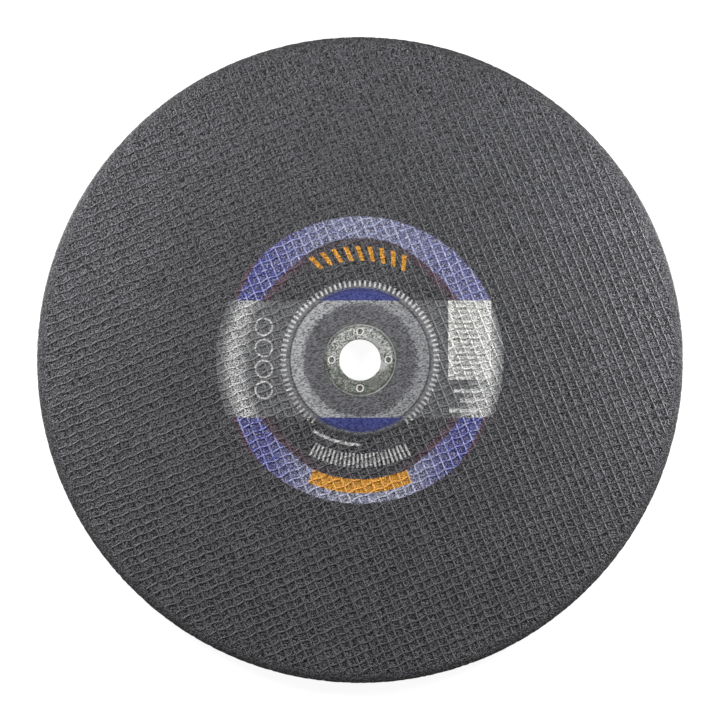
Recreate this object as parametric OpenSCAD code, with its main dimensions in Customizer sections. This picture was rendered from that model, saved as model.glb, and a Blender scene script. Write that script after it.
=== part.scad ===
// Flat cut off wheel: a moulded abrasive disc with glass mesh pressed into both faces,
// a paper label in the front face and a drawn steel ring in the bore.
// It lies on its back face at z = 0, with the bore along Z and the label up.

/* [Wheel] */
// Outer diameter of the wheel
wheel_d = 400; // [300:5:500]
// Thickness over the clamping seats
wheel_t = 4.5; // [4:0.1:7]
// Diameter of the smooth clamping seat on each face
seat_d = 92.8; // [70:0.2:120]
// Width of the smooth border inside the rim
border_w = 4.5; // [3:0.5:10]
// Width of the flat land between the mesh and the fall of the border
border_land = 0.5; // [0.2:0.1:2]
// Height that each border falls away towards the rim
border_fall = 0.5; // [0.2:0.1:1]

/* [Glass mesh] */
// Spacing of the warp ridges on the front, about two and a half threads of the mesh
warp_pitch = 13; // [11:0.5:26]
// Spacing of the weft ridges on the front
weft_pitch = 14; // [11:0.5:26]
// How many times wider the ridges are spaced on the back
back_spread = 2; // [1.5:0.5:4]
// Angle of the warp ridges to the X axis
mesh_angle = 23; // [0:1:90]
// Width of a ridge at its foot
ridge_w = 1.6; // [1:0.1:3]
// Height of a ridge over the floor of the mesh
ridge_h = 0.27; // [0.15:0.01:0.4]
// Height of the clamping seats over the ridges
seat_rise = 0.03; // [0.02:0.01:0.1]
// Height of the floor of the mesh over the bond at its edges
mesh_step = 0.05; // [0.03:0.01:0.1]

/* [Label] */
// Diameter of the label
label_d = 178; // [130:1:220]
// Thickness of the paper
label_t = 0.15; // [0.1:0.01:0.3]

/* [Steel ring] */
// Diameter of the bore
bore_d = 25.4; // [20:0.1:32]
// Thickness of the sheet
sheet_t = 0.5; // [0.3:0.05:0.8]
// Width of the flange round the bore
flange_w = 9.7; // [8:0.1:14]
// Inner radius of the rolled lip between flange and bore
lip_in_r = 0.15; // [0.1:0.05:1]
// Height that the flange falls from the lip to its outer edge
flange_fall = 0.3; // [0.1:0.05:0.4]
// Radius of the round on the flange's outer edge
edge_r = 0.25; // [0.1:0.05:0.3]
// Depth of the flange below the seat
flange_set = 0.05; // [0.02:0.01:0.2]
// Distance of the collar's end from the back face
collar_set = 0.3; // [0.1:0.1:1]

/* [Stakes] */
// Number of punched stakes in the flange
stake_count = 4; // [3:1:8]
// Diameter of a stake at the face of the flange
stake_mouth_d = 3.8; // [3.4:0.1:5]
// Diameter of the hole at the tip of a stake
stake_hole_d = 3; // [1:0.1:3.2]
// Depth that a stake reaches below the flange
stake_reach = 0.25; // [0.1:0.05:0.6]

/* [Fits] */
// Gap round the ring in the disc
ring_gap = 0.1; // [0.05:0.01:0.3]

/* [Hidden] */
$fn = 128;
// Segments in a full turn of the ring's small rounds and of a stake
small_fn = 32;

// Overlap of cutting tools past the faces they cut
past = 1;
// Overlap of the cone that opens a stake, past both of its ends
skim = 0.1;
// Depth of the slabs that the ridges of the mesh are drawn on
slab_depth = 0.5;
// Depth of the weft below the warp, which lies over it
weft_drop = 0.02;

wheel_r = wheel_d / 2;
seat_r = seat_d / 2;
mesh_r = wheel_r - border_w;
fall_r = mesh_r + border_land;
label_r = label_d / 2;
bore_r = bore_d / 2;
flange_r = bore_r + flange_w;

// Heights of the front face, counted from the back face
front_floor = wheel_t - seat_rise - ridge_h;
front_bond = front_floor - mesh_step;
label_under = front_floor - label_t;
// Depth that the mesh is rooted in the bond or the paper under it
mesh_root = (mesh_step + label_t) / 2;
// Heights of the back face
back_floor = seat_rise + ridge_h;
back_bond = back_floor + mesh_step;

// Heights and corners of the ring: the lip meets the flange at lip_x, and its round edge starts at edge_x
lip_r = lip_in_r + sheet_t;
lip_x = bore_r + lip_r;
edge_x = flange_r - edge_r;
flange_top = wheel_t - flange_set;
flange_under = flange_top - sheet_t;
edge_top = flange_top - flange_fall;
edge_under = edge_top - sheet_t;
pocket_r = flange_r + ring_gap;
disc_bore_r = bore_r + sheet_t + ring_gap;
// The slope of the flange, and the height of the disc's corner under it beside the lip
flange_slope = flange_fall / (edge_x - lip_x);
corner_z = flange_under - flange_slope * ring_gap;

// The stakes lie on a circle halfway across the flange, and their depth is counted from its top
stake_circle_r = bore_r + flange_w / 2;
stake_depth = sheet_t + flange_slope * (stake_circle_r - lip_x) + stake_reach;
stake_slope = (stake_mouth_d - stake_hole_d) / 2 / stake_depth;

// A ring with a square section
module band(inner_r, outer_r, low, high) {
    difference() {
        translate([0, 0, low]) cylinder(r = outer_r, h = high - low);
        translate([0, 0, low - past]) cylinder(r = inner_r, h = high - low + 2 * past);
    }
}

// A slab with parallel ridges on its flat top, which lies at z = 0
module ridged_slab(pitch, reach) {
    last = ceil(reach / pitch);
    edge = (last + 1) * pitch;
    ridge_points = [
        for (i = [-last : last])
            each [
                [i * pitch - ridge_w / 2, 0],
                [i * pitch, ridge_h],
                [i * pitch + ridge_w / 2, 0]
            ]
    ];
    low_edge = [[-edge, -slab_depth], [-edge, 0]];
    high_edge = [[edge, 0], [edge, -slab_depth]];
    rotate([90, 0, 90])
        linear_extrude(2 * edge, center = true) polygon(concat(low_edge, ridge_points, high_edge));
}

// The face of the glass mesh between two radii, with its floor at z = 0
module mesh_face(spread, inner_r, outer_r) {
    intersection() {
        band(inner_r, outer_r, -mesh_root, ridge_h + past);
        union() {
            rotate(mesh_angle) ridged_slab(warp_pitch * spread, outer_r);
            translate([0, 0, -weft_drop])
                rotate(mesh_angle + 90) ridged_slab(weft_pitch * spread, outer_r);
        }
    }
}

// The cones of the stakes, wider by grow all round and longer by over at both ends
module stake_cones(grow, over) {
    for (i = [0 : stake_count - 1])
        rotate(90 + i * 360 / stake_count)
            translate([stake_circle_r, 0, flange_top - stake_depth - over])
                cylinder(
                    r1 = stake_hole_d / 2 + grow - stake_slope * over,
                    r2 = stake_mouth_d / 2 + grow + stake_slope * over,
                    h = stake_depth + 2 * over,
                    $fn = small_fn
                );
}

// The moulded disc: a turned section with the mesh on both faces, and the seats of label and ring cut in
module abrasive_disc() {
    section = [
        [disc_bore_r, 0],
        [seat_r, 0],
        [seat_r, back_bond],
        [fall_r, back_bond],
        [wheel_r, back_bond + border_fall],
        [wheel_r, front_bond - border_fall],
        [fall_r, front_bond],
        [pocket_r, front_bond],
        [pocket_r, edge_under],
        [edge_x, edge_under],
        [lip_x + ring_gap, corner_z],
        [disc_bore_r, corner_z - lip_in_r]
    ];
    color([0.33, 0.33, 0.34])
        difference() {
            union() {
                rotate_extrude() polygon(section);
                translate([0, 0, front_floor]) mesh_face(1, label_r - past, mesh_r);
                translate([0, 0, back_floor])
                    mirror([0, 0, 1]) mesh_face(back_spread, seat_r - past, mesh_r);
            }
            translate([0, 0, label_under]) cylinder(r = label_r, h = wheel_t);
            stake_cones(sheet_t + ring_gap, ring_gap);
        }
}

// The paper label: smooth at the clamping seat, with the mesh pressed through the rest
module label() {
    color([0.36, 0.4, 0.62])
        intersection() {
            band(pocket_r, label_r, label_under, wheel_t);
            union() {
                cylinder(r = seat_r, h = wheel_t + past);
                cylinder(r = label_r + past, h = front_bond);
                translate([0, 0, front_floor]) mesh_face(1, seat_r - past, label_r + past);
            }
        }
}

// Half section of the ring: flange with its round edge, collar, and the rolled lip between them
module ring_section() {
    lip_z = flange_top - lip_r;
    polygon([
        [lip_x, flange_under],
        [lip_x, flange_top],
        [edge_x, edge_top],
        [edge_x, edge_under]
    ]);
    translate([edge_x, edge_under]) square([edge_r, sheet_t - edge_r]);
    translate([edge_x, edge_top - edge_r])
        intersection() {
            circle(edge_r, $fn = small_fn);
            square(edge_r);
        }
    translate([bore_r, collar_set]) square([sheet_t, lip_z - collar_set]);
    translate([lip_x, lip_z])
        intersection() {
            difference() {
                circle(lip_r, $fn = small_fn);
                circle(lip_in_r, $fn = small_fn);
            }
            translate([-lip_r, 0]) square(lip_r);
        }
}

// The drawn steel ring, with its stakes punched down into the disc and their rims level with the lip
module arbor_ring() {
    color([0.62, 0.63, 0.6])
        difference() {
            union() {
                rotate_extrude() ring_section();
                stake_cones(sheet_t, 0);
            }
            stake_cones(0, skim);
        }
}

abrasive_disc();
label();
arbor_ring();
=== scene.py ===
"""Looks of the cut off wheel: the weave of its glass mesh, the print of its label and the plated ring."""

import math

import bmesh
import bpy
import numpy as np
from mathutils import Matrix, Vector
from mathutils.geometry import delaunay_2d_cdt


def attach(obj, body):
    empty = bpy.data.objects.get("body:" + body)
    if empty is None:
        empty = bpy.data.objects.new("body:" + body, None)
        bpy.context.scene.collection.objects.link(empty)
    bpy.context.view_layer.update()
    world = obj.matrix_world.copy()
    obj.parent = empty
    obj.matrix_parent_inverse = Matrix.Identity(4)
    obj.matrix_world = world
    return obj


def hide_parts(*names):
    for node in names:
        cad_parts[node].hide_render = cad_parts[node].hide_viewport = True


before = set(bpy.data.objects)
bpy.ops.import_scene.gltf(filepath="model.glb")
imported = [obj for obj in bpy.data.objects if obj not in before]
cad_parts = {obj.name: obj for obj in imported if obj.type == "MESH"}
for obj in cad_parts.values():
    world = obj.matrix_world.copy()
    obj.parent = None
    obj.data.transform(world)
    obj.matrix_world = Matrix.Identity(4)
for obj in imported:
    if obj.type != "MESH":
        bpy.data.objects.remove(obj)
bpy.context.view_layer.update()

MM = 0.001
PER_MM = 1000.0
TURN = 2 * math.pi

# Radii of the wheel in mm and the number of its stakes, as in the part's source
WHEEL_R = 200.0
MESH_R = 195.5
LABEL_R = 89.0
SEAT_R = 46.4
POCKET_R = 22.5
POCKET_FLAT_R = 22.15
LIP_R = 13.35
MOUTH_R = 13.45
DISC_BORE_R = 13.3
STAKE_CIRCLE_R = 17.55
STAKE_COUNT = 4
# Radii of the pits under the stakes, close to those that the source cuts
PIT_MOUTH_R = 2.2
PIT_FLOOR_R = 2.05

# Heights in mm over the back face. The two floors lie deeper than the source's, as the threads stand taller
SEAT_Z = 4.5
FRONT_FLOOR = 4.07
FRONT_BOND = 4.15
LABEL_UNDER = 4.05
POCKET_Z = 3.95
POCKET_FALL = 0.3
PIT_FLOOR_Z = 3.46
BACK_FLOOR = 0.42
BACK_BOND = 0.35
BACK_SEAT = 0.0

# The front border's fall to the rim in mm: distance in from the rim, and height. The back mirrors it
BORDER_FALL = ((3.4, 4.12), (1.8, 3.98), (0.6, 3.72), (0.0, 3.3))
# The most that the rough rim is worn in, and that its points lie off their height
RIM_WEAR = 0.4
RIM_JITTER = 0.05

# The weave of the mesh in mm: warp threads run at WEAVE_ANGLE to X and sway from side to side over the weft
WEAVE_ANGLE = math.radians(22.7)
WARP_PITCH = 5.24
WEFT_PITCH = 5.61
WARP_SWAY = 0.4
# Slow bends of the threads: how far they stray, the length that sets the wave, and its phase at the centre
WARP_BEND = 0.5
WARP_BEND_LENGTH = 61.0
WARP_BEND_PHASE = 0.7
WEFT_BEND = 0.6
WEFT_BEND_LENGTH = 67.0
WEFT_BEND_PHASE = 1.0
# A thread's ridge: its height, and how far its foot, shoulder and flat top reach from its middle
RIDGE_H = 0.38
RIDGE_FOOT = 0.74
RIDGE_SHOULDER = 0.42
RIDGE_TOP = 0.14
# Share of its height that a thread loses where it passes under another, and on average by wear
RIDGE_DIP = 0.15
WEAR_SHARE = 0.06
# Lengths that set the size of the worn patches, and how much they wind
WEAR_ACROSS = 9.1
WEAR_ALONG = 12.3
WEAR_WINDING_LENGTH = 17.0
WEAR_WINDING = 2.0
# Distance from the threads at which the middle of a cell begins
CELL_EDGE = 1.7
# Unevenness of the points, sideways in mm and as the least share of their height
POINT_JITTER = 0.08
LEAST_HEIGHT = 0.93
# Widths over which the mesh fades out at the border, and over which it meets the front and the back seat
MESH_FADE = 1.6
SEAT_RAMP = 2.2
BACK_SEAT_RAMP = 0.4
# Strips that stay free of lattice points, beside the edges of the label, the border and the back seat
LABEL_STRIP = 0.3
BORDER_STRIP = 0.4
BACK_SEAT_STRIP = 0.5

# Segments in a full turn
RIM_STEPS = 720
LABEL_STEPS = 900
CENTRE_STEPS = 360
PIT_STEPS = 32

# Settings of the triangulation: keep what lies within the outer ring, and weld points this close in mm
WITHIN_OUTER_RING = 1
WELD = 1e-5
# The middle of a triangle within a round hole of n points lies inside the circle by more than
# HOLE_SAG / n ** 2 of its radius, and the middle of a triangle beside the hole by less
HOLE_SAG = 8.0
SHARP_ANGLE = math.radians(12)

# Places of the factor, the two colours and the result on a node that mixes colours
MIX_SHARE = 0
MIX_UNDER = 6
MIX_OVER = 7
MIX_RESULT = 2

# Layout of the print in mm: a band across the label, blue arcs above and below it, and a round centre
BAND_LOW = -35.6
BAND_HIGH = 36.8
ARC_INNER_R = 75.5
ARC_OUTER_R = 88.8
CENTRE_R = 43.3
PALE_RING_R = 35.5
# How far an arc widens inwards and tapers at its tips, and how far aside of the middle each begins and ends
ARC_WIDENING = 4.5
ARC_INNER_TAPER = 3.5
ARC_OUTER_TAPER = 4.5
WIDENING_ASIDE = (15, 50)
TAPER_ASIDE = (58, 80)
# Width of the arcs' soft edges and of the fringe inside them
ARC_SOFT = 0.8
FRINGE_WIDTH = 7.5
# Radii between which the ends of the band turn white, and then fade
WHITE_START_R = (67, 78)
WHITE_FADE_R = (87.5, 79)
# Widths over which the edges of the print are frayed, by blots and by grain
BLOT_FRAY = 1.6
GRAIN_FRAY = 0.9
# Soft edges of narrow marks in mm. The HALF of a mark below is half of its width
FINE_SOFT = 0.15
BROAD_SOFT = 0.2
# Soft edge of a mark on an arc, in radians. Bearings count from X, and other turns from the lowest point
TURN_SOFT = 0.01
# The ruled block, and the bars below it
BLOCK_LEFT = 54.6
BLOCK_RIGHT = 81.2
BLOCK_LOW = -12.1
RULING_PITCH = 3.2
RULING_HALF = 0.7
RULING_LEFT = 58.0
RULING_RIGHT = 77.8
BAR_RIGHT = 80.0
BAR_TOP = -18.0
BAR_PITCH = 6.0
BAR_HEIGHT = 2.4
BAR_LENGTHS = (22.0, 18.0, 25.0)
# The column of plain circles
CIRCLE_COUNT = 4
CIRCLE_X = -59.5
CIRCLE_TOP = 20.5
CIRCLE_PITCH = 13.0
CIRCLE_INNER_R = 4.7
CIRCLE_OUTER_R = 5.7
# The ring of ticks with its gap, the scale marks and the rule
TICK_R = 47.5
TICK_COUNT = 96
TICK_HALF = 0.65
TICK_HALF_LENGTH = 1.8
TICK_GAP_BEARINGS = (-2.2, -0.95)
SCALE_R = 62.0
SCALE_PITCH = 2.6
SCALE_HALF = 0.6
SCALE_TURN = 0.495
SCALE_INNER_R = 58.0
SCALE_OUTER_R = 66.6
RULE_BEARINGS = (-2.15, -1.57)
RULE_INNER_R = 51.5
RULE_OUTER_R = 53.2
# The orange dashes and the orange bar
DASH_R = 66.0
DASH_PITCH = 7.0
DASH_HALF = 1.4
DASH_HALF_LENGTH = 4.5
DASH_LEAN = 0.35
DASH_REACH = 31.5
ORANGE_BAR_TURN = 0.4
ORANGE_BAR_INNER_R = 73.8
ORANGE_BAR_OUTER_R = 82.4

# Radii in mm between which the bare face darkens inwards
SHADE_R = (175, 95)

# Radii in mm on the steel ring: a darker band beside its edge, the edge with its painted highlight, the
# darker lip, and the rims of the stakes
DARK_BAND_R = (20.3, 21.5)
FLANGE_EDGE_R = (21.6, 21.8)
DARKER_LIP_R = (13.6, 13.1)
STAKE_RIM_R = (1.8, 2.45)
# Rubbed spots of the steel ring: x, y and reach in mm, and grey level
RUBBED_SPOTS = ((13.5, -3.5, 4.4, 246), (8.5, -13.8, 5.0, 156), (9.5, 10.0, 4.5, 220))

# The stage in metres, apart from the sensor in mm
FLOOR_HALF = 4.0
LAMP_AIM = Vector((0.0, -0.08, 0.0))
CAMERA_Z = 2.0
VIEW_WIDTH = 0.4455
VIEW_END = 50.0
SENSOR_WIDTH = 36.0
# Levels of floor and sky
WHITE = (1, 1, 1, 1)
FLOOR_GREY = (0.3, 0.3, 0.3, 1)
FLOOR_GLOW = 0.92
HORIZON_GLOW = 0.9
SKY_GLOW = 0.1

rng = np.random.default_rng(11)


def soft_step(t):
    t = np.clip(t, 0, 1)
    return t * t * (3 - 2 * t)


def thread_shift(v):
    """How far a warp thread lies off its line, at distance v along it"""
    sway = WARP_SWAY * np.cos(math.pi * v / WEFT_PITCH)
    return sway + WARP_BEND * np.sin(v / WARP_BEND_LENGTH + WARP_BEND_PHASE)


def weft_shift(u):
    """How far a weft thread lies off its line, at distance u along it"""
    return WEFT_BEND * np.sin(u / WEFT_BEND_LENGTH + WEFT_BEND_PHASE)


def lattice_to_plane(u, v):
    """Place in the wheel's plane of lattice point u, v: u counts across the warp and v along it"""
    across = u + thread_shift(v)
    along = v + weft_shift(u)
    x = along * math.cos(WEAVE_ANGLE) - across * math.sin(WEAVE_ANGLE)
    y = along * math.sin(WEAVE_ANGLE) + across * math.cos(WEAVE_ANGLE)
    return x, y


def plane_to_lattice(x, y):
    """Lattice point of a place in the wheel's plane, close enough for bends as slow as these"""
    along = x * math.cos(WEAVE_ANGLE) + y * math.sin(WEAVE_ANGLE)
    across = y * math.cos(WEAVE_ANGLE) - x * math.sin(WEAVE_ANGLE)
    v = along - weft_shift(across)
    u = across - thread_shift(v)
    return u, v


def off_thread(place, pitch):
    """Distance from the nearest of the threads that lie this far apart"""
    return np.abs(place - np.round(place / pitch) * pitch)


def ridge(off):
    """Height of a thread's ridge at this distance from its middle, from 0 at its foot to 1 on top"""
    return soft_step((RIDGE_FOOT - off) / (RIDGE_FOOT - RIDGE_TOP))


def weave(u, v):
    """Height of the woven threads over the floor, from 0 to 1"""
    warp_line = np.round(u / WARP_PITCH)
    weft_line = np.round(v / WEFT_PITCH)
    warp_under = 0.5 - 0.5 * np.cos(math.pi * (warp_line + v / WEFT_PITCH))
    weft_under = 0.5 + 0.5 * np.cos(math.pi * (weft_line + u / WARP_PITCH))
    warp = ridge(off_thread(u, WARP_PITCH)) * (1 - RIDGE_DIP * warp_under)
    weft = ridge(off_thread(v, WEFT_PITCH)) * (1 - RIDGE_DIP * weft_under)
    winding = WEAR_WINDING * np.sin(v / WEAR_WINDING_LENGTH)
    patches = np.sin(u / WEAR_ACROSS + winding) * np.cos(v / WEAR_ALONG)
    return np.maximum(warp, weft) * (1 - WEAR_SHARE + WEAR_SHARE * patches)


def cell(u, v):
    """0 on the threads and 1 in the middle of the cells between them"""
    off = np.minimum(off_thread(u, WARP_PITCH), off_thread(v, WEFT_PITCH))
    return np.clip(off / CELL_EDGE, 0, 1)


class Shell:
    """Points and faces of one closed piece, in mm, with the place of each point in the weave"""

    def __init__(self):
        self.points = np.zeros((0, 3))
        self.ridges = np.zeros(0)
        self.cells = np.zeros(0)
        self.faces = []

    def add(self, x, y, z, ridges=0.0, cells=1.0):
        first = len(self.points)
        x, y, z, ridges, cells = np.broadcast_arrays(x, y, z, ridges, cells)
        self.points = np.vstack([self.points, np.column_stack([x, y, z])])
        self.ridges = np.append(self.ridges, ridges)
        self.cells = np.append(self.cells, cells)
        return np.arange(first, len(self.points))

    def ring(self, radius, z, steps, centre=(0.0, 0.0)):
        turn = np.arange(steps) * TURN / steps
        return self.add(centre[0] + radius * np.cos(turn), centre[1] + radius * np.sin(turn), z)

    def woven_ring(self, radius, floor, steps):
        """A ring that follows the ridges of the weave up and down"""
        turn = np.arange(steps) * TURN / steps
        x = radius * np.cos(turn)
        y = radius * np.sin(turn)
        spot = plane_to_lattice(x, y)
        height = weave(*spot)
        return self.add(x, y, floor + RIDGE_H * height, height, cell(*spot))

    def bridge(self, ring_a, ring_b):
        next_a = np.roll(ring_a, -1)
        next_b = np.roll(ring_b, -1)
        self.faces += np.column_stack([ring_a, next_a, next_b, ring_b]).tolist()

    def chain(self, rings):
        for ring_a, ring_b in zip(rings, rings[1:]):
            self.bridge(ring_a, ring_b)

    def fill(self, outer, holes, inside=()):
        """Triangles between an outer ring and round holes, through the points inside"""
        loops = [outer, *holes]
        order = np.concatenate([*loops, np.asarray(inside, int)])
        edges = []
        first = 0
        for loop in loops:
            count = len(loop)
            edges += [(first + k, first + (k + 1) % count) for k in range(count)]
            first += count
        flat = [Vector(point) for point in self.points[order, :2]]
        result = delaunay_2d_cdt(flat, edges, [], WITHIN_OUTER_RING, WELD, True)
        found_faces, found_sources = result[2], result[3]
        source = np.array([sources[0] for sources in found_sources])
        triangles = order[source[np.array(found_faces)]]
        middle = self.points[triangles, :2].mean(axis=1)
        keep = np.ones(len(triangles), bool)
        for hole in holes:
            rim = self.points[hole, :2]
            centre = rim.mean(axis=0)
            radius = np.hypot(*(rim[0] - centre))
            reach = np.hypot(*(middle - centre).T)
            keep &= reach > radius * (1 - HOLE_SAG / len(hole) ** 2)
        self.faces += triangles[keep].tolist()

    def weave_points(self, lines, inner_r, outer_r, height_at):
        """Lattice points between two radii, on lines at these distances from each thread"""
        last = math.ceil(outer_r / WARP_PITCH) + 1
        steps = np.arange(-last, last + 1)[:, None]
        warp_lines = (steps * WARP_PITCH + lines).ravel()
        weft_lines = (steps * WEFT_PITCH + lines).ravel()
        u, v = np.meshgrid(warp_lines, weft_lines)
        height = weave(u, v)
        cells = cell(u, v)
        x, y = lattice_to_plane(u, v)
        x = x + rng.uniform(-POINT_JITTER, POINT_JITTER, x.shape)
        y = y + rng.uniform(-POINT_JITTER, POINT_JITTER, y.shape)
        radius = np.hypot(x, y)
        keep = (radius > inner_r) & (radius < outer_r)
        x, y, radius = x[keep], y[keep], radius[keep]
        uneven = rng.uniform(LEAST_HEIGHT, 1.0, len(x))
        height = height[keep] * uneven * mesh_share(radius)
        return self.add(x, y, height_at(radius, height), height, cells[keep])

    def piece(self, name, material):
        """A Blender object, with the place of its points in the weave as the attributes ridge and cell"""
        mesh = bpy.data.meshes.new(name)
        mesh.from_pydata((self.points * MM).tolist(), [], self.faces)
        solid = bmesh.new()
        solid.from_mesh(mesh)
        bmesh.ops.recalc_face_normals(solid, faces=solid.faces)
        solid.to_mesh(mesh)
        solid.free()
        for trait, values in (("ridge", self.ridges), ("cell", self.cells)):
            mesh.attributes.new(trait, "FLOAT", "POINT").data.foreach_set("value", values)
        mesh.shade_smooth()
        mesh.set_sharp_from_angle(angle=SHARP_ANGLE)
        mesh.materials.append(material)
        made = bpy.data.objects.new(name, mesh)
        bpy.context.scene.collection.objects.link(made)
        return made


def mesh_share(radius):
    """1 inside the mesh, falling to 0 at its edge"""
    return soft_step((MESH_R - radius) / MESH_FADE)


def rim_ring(shell, radius, z):
    """A ring of the rough rim, worn in here and there"""
    worn = RIM_WEAR * rng.uniform(0.0, 1.0, RIM_STEPS) ** 3
    return shell.ring(radius - worn, z + rng.uniform(-RIM_JITTER, RIM_JITTER, RIM_STEPS), RIM_STEPS)


def pocket_floor(radius):
    """Height of the pocket's floor, which slopes with the flange of the ring"""
    return POCKET_Z - POCKET_FALL * (radius - LIP_R) / (POCKET_FLAT_R - LIP_R)


def add_front(shell, outer, inner):
    """The woven front face between two rings"""
    def height_at(radius, height):
        return FRONT_BOND + (FRONT_FLOOR - FRONT_BOND) * mesh_share(radius) + RIDGE_H * height

    lines = np.array([-RIDGE_FOOT, -RIDGE_TOP, RIDGE_TOP, RIDGE_FOOT])
    inside = shell.weave_points(lines, LABEL_R + LABEL_STRIP, MESH_R - BORDER_STRIP, height_at)
    shell.fill(outer, [inner], inside)


def add_rim(shell, front_edge, back_edge):
    """The falling borders of both faces, and the rim between them"""
    fall = [(WHEEL_R - inset, z) for inset, z in BORDER_FALL]
    back_fall = [(radius, SEAT_Z - z) for radius, z in reversed(fall)]
    profile = [*fall, (WHEEL_R, SEAT_Z / 2), *back_fall]
    shell.chain([front_edge, *[rim_ring(shell, radius, z) for radius, z in profile], back_edge])


def add_back(shell, outer):
    """The woven back face, its clamping seat and the bore up to the pocket; returns the bore's mouth"""
    def height_at(radius, height):
        return BACK_BOND - (BACK_BOND - BACK_FLOOR) * mesh_share(radius) - RIDGE_H * height

    foot_r = SEAT_R + BACK_SEAT_RAMP
    seat_foot = shell.ring(foot_r, BACK_FLOOR, CENTRE_STEPS)
    lines = np.array([-RIDGE_FOOT, 0.0, RIDGE_FOOT])
    inside = shell.weave_points(lines, foot_r + BACK_SEAT_STRIP, MESH_R - BORDER_STRIP, height_at)
    shell.fill(outer, [seat_foot], inside)
    mouth_z = pocket_floor(MOUTH_R)
    mouth = shell.ring(MOUTH_R, mouth_z, CENTRE_STEPS)
    shell.chain([
        seat_foot,
        shell.ring(SEAT_R, BACK_SEAT, CENTRE_STEPS),
        shell.ring(DISC_BORE_R, BACK_SEAT, CENTRE_STEPS),
        shell.ring(DISC_BORE_R, mouth_z - (MOUTH_R - DISC_BORE_R), CENTRE_STEPS),
        mouth,
    ])
    return mouth


def add_pit(shell, centre):
    """The pit under one stake; returns its mouth in the pocket's floor"""
    pit = shell.ring(PIT_MOUTH_R, POCKET_Z, PIT_STEPS, centre)
    shell.points[pit, 2] = pocket_floor(np.hypot(*shell.points[pit, :2].T))
    pit_floor = shell.ring(PIT_FLOOR_R, PIT_FLOOR_Z, PIT_STEPS, centre)
    shell.bridge(pit, pit_floor)
    shell.faces.append(pit_floor.tolist())
    return pit


def add_pocket(shell, mouth):
    """The pocket of the ring; returns the top of its wall, where the label's seat begins"""
    pits = []
    for stake in range(STAKE_COUNT):
        turn = TURN * (stake + 1) / STAKE_COUNT
        pits.append(add_pit(shell, (STAKE_CIRCLE_R * math.cos(turn), STAKE_CIRCLE_R * math.sin(turn))))
    foot = shell.ring(POCKET_FLAT_R, POCKET_Z - POCKET_FALL, CENTRE_STEPS)
    shell.fill(foot, [mouth, *pits])
    top = shell.ring(POCKET_R, LABEL_UNDER, CENTRE_STEPS)
    shell.chain([foot, shell.ring(POCKET_R, POCKET_Z - POCKET_FALL, CENTRE_STEPS), top])
    return top


def make_disc(material):
    shell = Shell()
    label_edge = shell.woven_ring(LABEL_R, FRONT_FLOOR, LABEL_STEPS)
    front_edge = shell.ring(MESH_R, FRONT_BOND, RIM_STEPS)
    back_edge = shell.ring(MESH_R, BACK_BOND, RIM_STEPS)
    add_front(shell, front_edge, label_edge)
    add_rim(shell, front_edge, back_edge)
    mouth = add_back(shell, back_edge)
    pocket_top = add_pocket(shell, mouth)
    label_foot = shell.ring(LABEL_R, LABEL_UNDER, LABEL_STEPS)
    shell.fill(label_foot, [pocket_top])
    shell.bridge(label_foot, label_edge)
    return shell.piece("abrasive_disc_woven", material)


def make_label(material):
    shell = Shell()

    def face(radius, height):
        ramp = soft_step((SEAT_R + SEAT_RAMP - radius) / SEAT_RAMP)
        woven = FRONT_FLOOR + RIDGE_H * height
        return woven + (SEAT_Z - woven) * ramp

    outer = shell.woven_ring(LABEL_R, FRONT_FLOOR, LABEL_STEPS)
    seat_edge = shell.ring(SEAT_R, SEAT_Z, CENTRE_STEPS)
    right_lines = np.array([RIDGE_TOP, RIDGE_SHOULDER, RIDGE_FOOT, CELL_EDGE])
    lines = np.concatenate([-right_lines[::-1], right_lines])
    inside = shell.weave_points(lines, SEAT_R + LABEL_STRIP, LABEL_R - LABEL_STRIP, face)
    shell.fill(outer, [seat_edge], inside)
    hole_top = shell.ring(POCKET_R, SEAT_Z, CENTRE_STEPS)
    hole_foot = shell.ring(POCKET_R, LABEL_UNDER, CENTRE_STEPS)
    shell.chain([seat_edge, hole_top, hole_foot])
    outer_foot = shell.ring(LABEL_R, LABEL_UNDER, LABEL_STEPS)
    shell.fill(outer_foot, [hole_foot])
    shell.bridge(outer_foot, outer)
    return shell.piece("label_woven", material)


class Field:
    """A number that varies over a surface, with the sums that make another from it"""

    def __init__(self, tree, socket):
        self.tree = tree
        self.socket = socket

    def combine(self, operation, *others):
        node = self.tree.nodes.new("ShaderNodeMath")
        node.operation = operation
        for socket, value in zip(node.inputs, (self, *others)):
            feed(self.tree, socket, value)
        return Field(self.tree, node.outputs[0])

    def __add__(self, other):
        return self.combine("ADD", other)

    def __sub__(self, other):
        return self.combine("SUBTRACT", other)

    def __mul__(self, other):
        return self.combine("MULTIPLY", other)

    def inverse(self):
        """1 where this is 0, and 0 where it is 1"""
        return self.combine("MULTIPLY_ADD", -1.0, 1.0)

    def size(self):
        return self.combine("ABSOLUTE")

    def above(self, other):
        return self.combine("MAXIMUM", other)

    def hypot(self, other):
        """Distance of a place that lies this far off on one axis, and so far as the other on the next"""
        return (self * self + other * other).combine("SQRT")

    def stray(self, noise, width):
        """This number, moved to and fro over a width by noise"""
        return self + noise * width - width / 2

    def repeat(self, period):
        """Distance from the nearest of evenly spaced marks"""
        return self.combine("PINGPONG", period / 2)

    def rise(self, low, high):
        """A soft step from 0 at low to 1 at high"""
        node = self.tree.nodes.new("ShaderNodeMapRange")
        node.interpolation_type = "SMOOTHSTEP"
        feed(self.tree, node.inputs["Value"], self)
        node.inputs["From Min"].default_value = low
        node.inputs["From Max"].default_value = high
        return Field(self.tree, node.outputs["Result"])

    def within(self, edge, soft):
        """1 below a soft edge"""
        return self.rise(edge + soft, edge - soft)

    def span(self, low, high, soft=0.25):
        """1 between low and high, with soft edges"""
        return self.rise(low - soft, low + soft) * self.rise(high - soft, high + soft).inverse()


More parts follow.
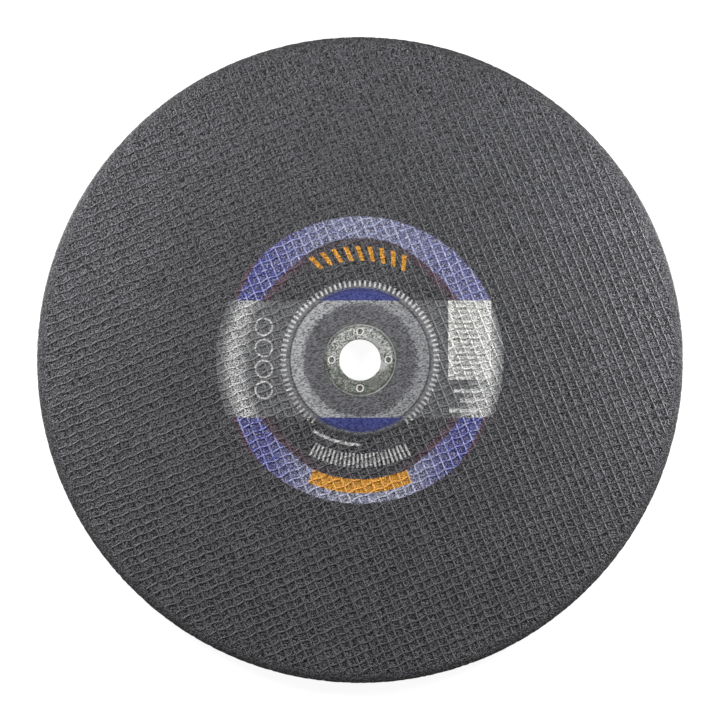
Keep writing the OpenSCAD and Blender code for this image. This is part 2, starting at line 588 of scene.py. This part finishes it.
def feed(tree, socket, value):
    if isinstance(value, Field):
        tree.links.new(value.socket, socket)
    else:
        socket.default_value = value


def paint(red, green, blue):
    """Linear colour of a screen colour"""
    def linear(level):
        level = level / 255
        return level / 12.92 if level <= 0.04045 else ((level + 0.055) / 1.055) ** 2.4
    return (linear(red), linear(green), linear(blue), 1.0)


class Finish:
    """One procedural material, with the place on the wheel in mm as fields"""

    def __init__(self, name):
        self.material = bpy.data.materials.new(name)
        self.material.use_nodes = True
        self.tree = self.material.node_tree
        self.shader = self.tree.nodes["Principled BSDF"]
        self.place = self.node("ShaderNodeTexCoord").outputs["Object"]
        split = self.node("ShaderNodeSeparateXYZ")
        self.tree.links.new(self.place, split.inputs["Vector"])
        self.x, self.y, self.z = [Field(self.tree, split.outputs[axis]) * PER_MM for axis in "XYZ"]
        self.radius = self.x.hypot(self.y)

    def node(self, kind, **settings):
        made = self.tree.nodes.new(kind)
        for key, value in settings.items():
            setattr(made, key, value)
        return made

    def noise(self, lump_mm, detail=3.0, roughness=0.55, length=1.0, turn=0.0):
        """Soft noise from about 0.25 to 0.75, with lumps of this size, drawn out to streaks at an angle"""
        node = self.node("ShaderNodeTexNoise")
        node.inputs["Scale"].default_value = PER_MM / lump_mm
        node.inputs["Detail"].default_value = detail
        node.inputs["Roughness"].default_value = roughness
        mapping = self.node("ShaderNodeMapping", vector_type="TEXTURE")
        mapping.inputs["Rotation"].default_value = (0, 0, turn)
        mapping.inputs["Scale"].default_value = (length, 1, 1)
        self.tree.links.new(self.place, mapping.inputs["Vector"])
        self.tree.links.new(mapping.outputs["Vector"], node.inputs["Vector"])
        return Field(self.tree, node.outputs["Fac"])

    def trait(self, name):
        """A point attribute of the mesh"""
        node = self.node("ShaderNodeAttribute", attribute_name=name)
        return Field(self.tree, node.outputs["Fac"])

    def mix(self, share, under, over):
        """The colour under, with this share of the colour over it"""
        node = self.node("ShaderNodeMix", data_type="RGBA")
        feed(self.tree, node.inputs[MIX_SHARE], share)
        feed(self.tree, node.inputs[MIX_UNDER], under)
        feed(self.tree, node.inputs[MIX_OVER], over)
        return Field(self.tree, node.outputs[MIX_RESULT])

    def bump(self, height, depth_mm):
        node = self.node("ShaderNodeBump")
        node.inputs["Strength"].default_value = 1.0
        node.inputs["Distance"].default_value = depth_mm * MM
        feed(self.tree, node.inputs["Height"], height)
        self.tree.links.new(node.outputs["Normal"], self.shader.inputs["Normal"])

    def set(self, **levels):
        for name, value in levels.items():
            feed(self.tree, self.shader.inputs[name.replace("_", " ")], value)


class Face:
    """What the bare face and the printed label share: smooth threads, with grain and pits between them"""

    def __init__(self, finish):
        self.finish = finish
        self.grain = finish.noise(lump_mm=0.85, detail=2.0, roughness=0.6)
        self.pits = finish.noise(lump_mm=1.25, detail=1.0)
        self.cloud = finish.noise(lump_mm=24.0)
        self.thread = finish.trait("ridge").rise(0.3, 0.95)
        border = finish.radius.rise(MESH_R - 1.5, MESH_R - 0.1)
        self.coarse = finish.trait("cell").rise(0.28, 0.43) * (border * 0.4).inverse()
        self.inward = finish.radius.rise(*SHADE_R)

    def bare(self):
        """Colour of the abrasive: grain in cloudy greys, black pits, smoother threads, darker inwards"""
        mix = self.finish.mix
        base = mix(self.grain.rise(0.385, 0.615), paint(30, 30, 32), paint(138, 138, 144))
        base = mix(self.cloud.rise(0.35, 0.7) * 0.25, base, paint(70, 70, 74))
        base = mix(self.pits.rise(0.485, 0.395) * 0.97, base, paint(14, 14, 15))
        base = mix(self.coarse.inverse() * 0.7, base, paint(79, 79, 83))
        return mix(self.inward * 0.14, base, paint(20, 20, 21))

    def relief(self):
        """Height of grain and pits, which is low on the threads"""
        return (self.grain + self.pits - 1.0) * (self.coarse * 0.75 + 0.25)


class Print(Face):
    """The printed label: the fields that its motifs share, and a method for each motif"""

    def __init__(self, finish):
        super().__init__(finish)
        self.heart = finish.trait("cell").rise(0.5, 1.0)
        self.felt = finish.noise(lump_mm=0.85, roughness=0.7, length=2.0, turn=math.radians(18))
        self.blot = finish.noise(lump_mm=2.2, detail=2.0)
        self.patch = finish.noise(lump_mm=5.5, detail=2.0)
        self.fleck = finish.noise(lump_mm=0.97, detail=1.0)
        self.cover = self.grain.rise(0.27, 0.48)
        self.bearing = finish.y.combine("ARCTAN2", finish.x)
        self.from_lowest = (self.bearing + TURN / 4).size()
        self.blotted_r = finish.radius.stray(self.blot, BLOT_FRAY)
        self.grained_r = finish.radius.stray(self.grain, GRAIN_FRAY)
        self.grained_x = finish.x.stray(self.grain, GRAIN_FRAY)
        self.grained_y = finish.y.stray(self.grain, GRAIN_FRAY)
        self.band = finish.y.span(BAND_LOW, BAND_HIGH)
        self.off_band = self.band.inverse()
        self.seat = finish.radius.rise(SEAT_R + 1.6, SEAT_R - 0.9)

    def ground(self):
        """Grey felt on the clamping seat, and the bare face outside it"""
        grey_felt = self.finish.mix(self.felt.rise(0.35, 0.65), paint(60, 60, 63), paint(138, 138, 143))
        return self.finish.mix(self.seat, self.bare(), grey_felt)

    def blue_arcs(self, base):
        """Two arcs that taper to their tips, with a dark red fringe along their inner edge"""
        x, y = self.finish.x, self.finish.y
        aside = x.size()
        upper_right = x.rise(0, 40) * y.rise(0, 20)
        tip = aside.rise(*TAPER_ASIDE)
        widened_r = self.blotted_r + aside.rise(*WIDENING_ASIDE) * ARC_WIDENING
        from_inner = widened_r - tip * ARC_INNER_TAPER - ARC_INNER_R
        from_outer = self.blotted_r + tip * upper_right.inverse() * ARC_OUTER_TAPER - ARC_OUTER_R
        from_outer = from_outer * -1.0
        fringe = from_inner.rise(-FRINGE_WIDTH, 0) * from_outer.rise(-4.5, -1)
        dots = self.fleck.stray(fringe, 0.2).rise(0.47, 0.56) * fringe.rise(0, 0.3)
        fringe_share = dots * self.off_band * (aside.rise(18, 45) * 0.55 + 0.2)
        base = self.finish.mix(fringe_share, base, paint(106, 71, 88))
        arcs = from_inner.rise(-ARC_SOFT, ARC_SOFT) * from_outer.rise(-ARC_SOFT, ARC_SOFT) * self.off_band
        deep = aside.rise(14, 60) * (upper_right * 0.4).inverse()
        return self.finish.mix(arcs * self.cover, base, self.blue_ink(deep))

    def blue_ink(self, deep):
        """Blue ink, paler where it isn't deep, mottled in the cells, rubbed off the threads and flecked"""
        mix = self.finish.mix
        pale = mix(self.finish.y.rise(-30, 30), paint(204, 205, 222), paint(148, 152, 192))
        ink = mix(deep, pale, paint(36, 50, 162))
        ink = mix(self.patch.rise(0.4, 0.65) * (deep * -0.2 + 0.55), ink, paint(130, 134, 176))
        mottle = mix(self.grain.rise(0.48, 0.6), paint(28, 27, 36), paint(196, 196, 212))
        ink = mix(self.heart * self.patch.rise(0.72, 0.4) * 0.75, ink, mottle)
        ink = mix(self.thread * self.blot.rise(0.2, 0.55) * 0.85, ink, paint(202, 204, 228))
        ink = mix(self.fleck.rise(0.58, 0.66) * (deep * -0.35 + 0.7), ink, paint(222, 222, 232))
        return mix(self.fleck.rise(0.43, 0.34) * 0.85, ink, paint(28, 28, 66))

    def pale_band(self, base):
        """A thin white veil on the band, and whiter ends"""
        veil = self.band * self.finish.radius.rise(CENTRE_R + 0.2, CENTRE_R + 1.7)
        base = self.finish.mix(veil * self.cover * 0.22, base, paint(190, 191, 193))
        far_out = self.blotted_r.stray(self.patch, 8.0).rise(*WHITE_START_R)
        lopsided_r = self.blotted_r - self.finish.x.rise(-10, 10) * 2.6
        ends = self.band * far_out * lopsided_r.rise(*WHITE_FADE_R)
        return self.finish.mix(ends * self.grain.rise(0.38, 0.54) * 0.8, base, paint(236, 237, 235))

    def round_centre(self, base):
        """Dark blue off the band, a pale ragged ring on the band, and a thin line round both"""
        mix = self.finish.mix
        x, radius = self.finish.x, self.finish.radius
        centre = self.blotted_r.rise(CENTRE_R + 1.5, CENTRE_R + 0.9)
        navy = mix(self.felt.rise(0.35, 0.65), paint(30, 36, 104), paint(84, 94, 168))
        base = mix(centre * self.off_band, base, navy)
        ragged = radius.stray(self.felt, 5.0).rise(PALE_RING_R - 2, PALE_RING_R + 2)
        pale_ring = ragged * radius.rise(CENTRE_R, CENTRE_R - 0.8) * self.band
        pale_share = self.felt.rise(0.3, 0.62) * (x.rise(-10, 34) * -0.38 + 0.88)
        base = mix(pale_ring * pale_share, base, paint(216, 218, 220))
        outline = radius.span(CENTRE_R - 0.5, CENTRE_R + 0.5, 0.3)
        return mix(outline * 0.5, base, paint(62, 52, 66))

    def ruled_block(self, base):
        """A white block with grey ruled lines"""
        x, y = self.finish.x, self.finish.y
        block = self.grained_x.span(BLOCK_LEFT, BLOCK_RIGHT) * self.grained_y.span(BLOCK_LOW, BAND_HIGH)
        ruling = y.repeat(RULING_PITCH).within(RULING_HALF, BROAD_SOFT) * x.span(RULING_LEFT, RULING_RIGHT)
        white = block * (ruling * 0.6).inverse()
        return self.finish.mix(white * self.grain.rise(0.34, 0.51) * 0.97, base, paint(246, 246, 242))

    def white_marks(self, base):
        """A ring of ticks, a row of scale marks, a rule on an arc, bars, and a column of plain circles"""
        x, radius = self.finish.x, self.finish.radius
        ticks = (self.bearing * TICK_R).repeat(TURN * TICK_R / TICK_COUNT).within(TICK_HALF, FINE_SOFT)
        ticks = ticks * radius.span(TICK_R - TICK_HALF_LENGTH, TICK_R + TICK_HALF_LENGTH)
        ticks = ticks * self.bearing.span(*TICK_GAP_BEARINGS, TURN_SOFT).inverse()
        scale_marks = (self.bearing * SCALE_R).repeat(SCALE_PITCH).within(SCALE_HALF, FINE_SOFT)
        scale_marks = scale_marks * self.from_lowest.within(SCALE_TURN, TURN_SOFT / 2)
        scale_marks = scale_marks * self.grained_r.span(SCALE_INNER_R, SCALE_OUTER_R)
        rule = self.bearing.span(*RULE_BEARINGS, TURN_SOFT)
        rule = rule * self.grained_r.span(RULE_INNER_R, RULE_OUTER_R)
        marks = ticks.above(scale_marks).above(rule)
        for row, length in enumerate(BAR_LENGTHS):
            top = BAR_TOP - BAR_PITCH * row
            bar = x.span(BAR_RIGHT - length, BAR_RIGHT) * self.grained_y.span(top - BAR_HEIGHT, top)
            marks = marks.above(bar)
        for row in range(CIRCLE_COUNT):
            off_y = self.grained_y - (CIRCLE_TOP - CIRCLE_PITCH * row)
            reach = (self.grained_x - CIRCLE_X).hypot(off_y)
            marks = marks.above(reach.span(CIRCLE_INNER_R, CIRCLE_OUTER_R, BROAD_SOFT))
        return self.finish.mix(marks * self.cover * 0.85, base, paint(226, 226, 225))

    def orange_marks(self, base):
        """A row of slanted dashes on an arc at the top, and a bar on an arc at the bottom"""
        slant = (self.bearing - TURN / 4) * DASH_R - (self.grained_r - DASH_R) * DASH_LEAN
        dashes = slant.repeat(DASH_PITCH).within(DASH_HALF, BROAD_SOFT)
        dashes = dashes * slant.size().within(DASH_REACH, 0.1)
        dashes = dashes * self.grained_r.span(DASH_R - DASH_HALF_LENGTH, DASH_R + DASH_HALF_LENGTH)
        bar = self.from_lowest.within(ORANGE_BAR_TURN, TURN_SOFT / 2)
        bar = bar * self.grained_r.span(ORANGE_BAR_INNER_R, ORANGE_BAR_OUTER_R)
        orange = self.finish.mix(self.grain.rise(0.35, 0.65), paint(226, 138, 28), paint(252, 190, 66))
        return self.finish.mix(dashes.above(bar) * self.cover, base, orange)


def abrasive_finish():
    finish = Finish("abrasive_grain")
    face = Face(finish)
    radius = finish.radius
    # Pale resin under the ring, painted nearly white so that the shaded pits of the stakes look lit: partly
    # the resin's own tint, partly painted light
    resin_and_painted_light = radius.rise(POCKET_R + 1.5, POCKET_R - 0.5) * finish.z.rise(2, 3)
    base = finish.mix(resin_and_painted_light * 0.9, face.bare(), paint(232, 226, 228))
    base = finish.mix(radius.rise(MESH_R - 1.5, WHEEL_R - 0.5) * 0.4, base, paint(48, 45, 44))
    base = finish.mix(radius.rise(WHEEL_R - 1.0, WHEEL_R - 0.4) * 0.6, base, paint(38, 34, 31))
    finish.set(Base_Color=base, Roughness=face.thread * -0.12 + face.grain * 0.2 + 0.5)
    finish.bump(face.relief(), depth_mm=0.44)
    return finish.material


def label_finish():
    finish = Finish("label_print")
    face = Print(finish)
    base = face.ground()
    base = face.blue_arcs(base)
    base = face.pale_band(base)
    base = face.round_centre(base)
    base = face.ruled_block(base)
    base = face.white_marks(base)
    base = face.orange_marks(base)
    finish.set(Base_Color=base, Roughness=face.grain * 0.25 + 0.42)
    finish.bump(face.relief() * (face.seat * 0.75).inverse() + face.felt * face.seat, depth_mm=0.5)
    return finish.material


def ring_finish():
    finish = Finish("zinc_plate")
    mix = finish.mix
    x, y, radius = finish.x, finish.y, finish.radius
    cloud = finish.noise(lump_mm=5.0)
    spangle = finish.noise(lump_mm=1.05, roughness=0.7)
    stain = finish.noise(lump_mm=3.0, detail=2.0)
    glint = finish.noise(lump_mm=1.1, detail=1.0, length=2.6, turn=math.radians(32))
    shine = cloud.rise(0.62, 0.4)
    # Painted light: the plate is painted lighter in its upper half, as if lit there, and darker below, as
    # if shaded
    painted_light_top = y.stray(cloud, 14.0).rise(-7, 6)
    zinc_painted_shaded = mix(shine, paint(142, 146, 136), paint(198, 202, 194))
    zinc_painted_lit = mix(shine, paint(186, 190, 182), paint(236, 238, 235))
    base = mix(painted_light_top, zinc_painted_shaded, zinc_painted_lit)
    base = mix(stain.rise(0.48, 0.6) * 0.65, base, paint(82, 90, 76))
    base = mix(spangle.rise(0.51, 0.59) * 0.9, base, paint(54, 58, 50))
    # Painted highlights: white spangle flecks and streaky glints, stronger in the painted lit upper half
    base = mix(spangle.rise(0.47, 0.38) * (painted_light_top * 0.6 + 0.4), base, paint(252, 253, 251))
    base = mix(glint.rise(0.55, 0.62) * (painted_light_top * 0.8 + 0.2), base, paint(254, 255, 253))
    base = mix(radius.span(*DARK_BAND_R, 0.4) * 0.5, base, paint(70, 76, 62))

    # Rubbed smooth beside the bore, and darker on the lip
    for spot_x, spot_y, reach, grey in RUBBED_SPOTS:
        away = (x - spot_x).hypot(y - spot_y)
        rubbed = away.stray(cloud, 4.0).rise(reach, reach * 0.4)
        base = mix(rubbed * 0.75, base, paint(grey, grey + 1, grey))
    base = mix(radius.rise(*DARKER_LIP_R) * 0.6, base, paint(120, 123, 116))

    # Painted highlight along the rim of the flange, brighter towards the upper right, and the bare worn
    # rims of the stakes
    worn = radius.rise(*FLANGE_EDGE_R) * ((x + y).rise(-24, -2) * 0.75 + 0.25)
    for across, along in ((x, y), (y, x)):
        from_stake = across.hypot(along.size() - STAKE_CIRCLE_R)
        worn = worn.above(from_stake.span(*STAKE_RIM_R, 0.12))
    base = mix(worn, base, paint(250, 250, 246))
    finish.set(Base_Color=base, Metallic=worn * -0.45 + 0.45, Roughness=cloud.rise(0.3, 0.7) * 0.2 + 0.4)
    finish.bump(spangle + cloud, depth_mm=0.1)
    return finish.material


def seen_directly(tree):
    """1 for what the camera sees, also in a reflection or through glass"""
    path = tree.nodes.new("ShaderNodeLightPath")
    seen = Field(tree, path.outputs["Is Camera Ray"])
    for kind in ("Is Glossy Ray", "Is Transmission Ray"):
        seen = seen.above(Field(tree, path.outputs[kind]))
    return seen


def make_floor():
    """A floor that looks nearly white, and throws little light back on the wheel"""
    half = FLOOR_HALF
    corners = [(-half, -half, 0), (half, -half, 0), (half, half, 0), (-half, half, 0)]
    mesh = bpy.data.meshes.new("floor")
    mesh.from_pydata(corners, [], [(0, 1, 2, 3)])
    floor = bpy.data.objects.new("floor", mesh)
    bpy.context.scene.collection.objects.link(floor)
    material = bpy.data.materials.new("pale_floor")
    material.use_nodes = True
    tree = material.node_tree
    shader = tree.nodes["Principled BSDF"]
    shader.inputs["Base Color"].default_value = FLOOR_GREY
    shader.inputs["Roughness"].default_value = 0.9
    shader.inputs["Specular IOR Level"].default_value = 0.0
    shader.inputs["Emission Color"].default_value = WHITE
    feed(tree, shader.inputs["Emission Strength"], seen_directly(tree) * FLOOR_GLOW)
    mesh.materials.append(material)


def make_world():
    """A dim sky that looks white near the horizon, where the floor ends"""
    world = bpy.data.worlds.new("studio")
    bpy.context.scene.world = world
    world.use_nodes = True
    tree = world.node_tree
    background = tree.nodes["Background"]
    background.inputs["Color"].default_value = WHITE
    direction = tree.nodes.new("ShaderNodeSeparateXYZ")
    tree.links.new(tree.nodes.new("ShaderNodeTexCoord").outputs["Generated"], direction.inputs["Vector"])
    low = Field(tree, direction.outputs["Z"]).rise(0.35, 0.15)
    feed(tree, background.inputs["Strength"], seen_directly(tree) * low * HORIZON_GLOW + SKY_GLOW)


def make_lamp(name, place, watts, size):
    """A square lamp that shines on the wheel"""
    light = bpy.data.lights.new(name, "AREA")
    light.energy = watts
    light.size = size
    lamp = bpy.data.objects.new(name, light)
    lamp.location = place
    lamp.rotation_euler = (Vector(place) - LAMP_AIM).to_track_quat("Z", "Y").to_euler()
    lamp.visible_camera = False
    bpy.context.scene.collection.objects.link(lamp)


def make_camera():
    """A camera straight above, as the photograph was taken"""
    data = bpy.data.cameras.new("camera")
    data.sensor_width = SENSOR_WIDTH
    data.lens = SENSOR_WIDTH * (CAMERA_Z - FRONT_FLOOR * MM) / VIEW_WIDTH
    data.clip_end = VIEW_END
    camera = bpy.data.objects.new("camera", data)
    camera.location = (0, 0, CAMERA_Z)
    bpy.context.scene.collection.objects.link(camera)
    bpy.context.scene.camera = camera


disc = make_disc(abrasive_finish())
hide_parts("abrasive_disc")
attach(disc, "root")

label = make_label(label_finish())
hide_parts("label")
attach(label, "root")

ring_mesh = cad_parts["arbor_ring"].data
ring_mesh.materials.clear()
ring_mesh.materials.append(ring_finish())

make_floor()
make_world()
make_lamp("softbox_left", place=(-0.6, 0.31, 0.15), watts=7.7, size=0.16)
make_lamp("softbox_right", place=(0.54, 0.18, 0.128), watts=5.0, size=0.14)
make_camera()
bpy.context.scene.view_settings.view_transform = "Standard"
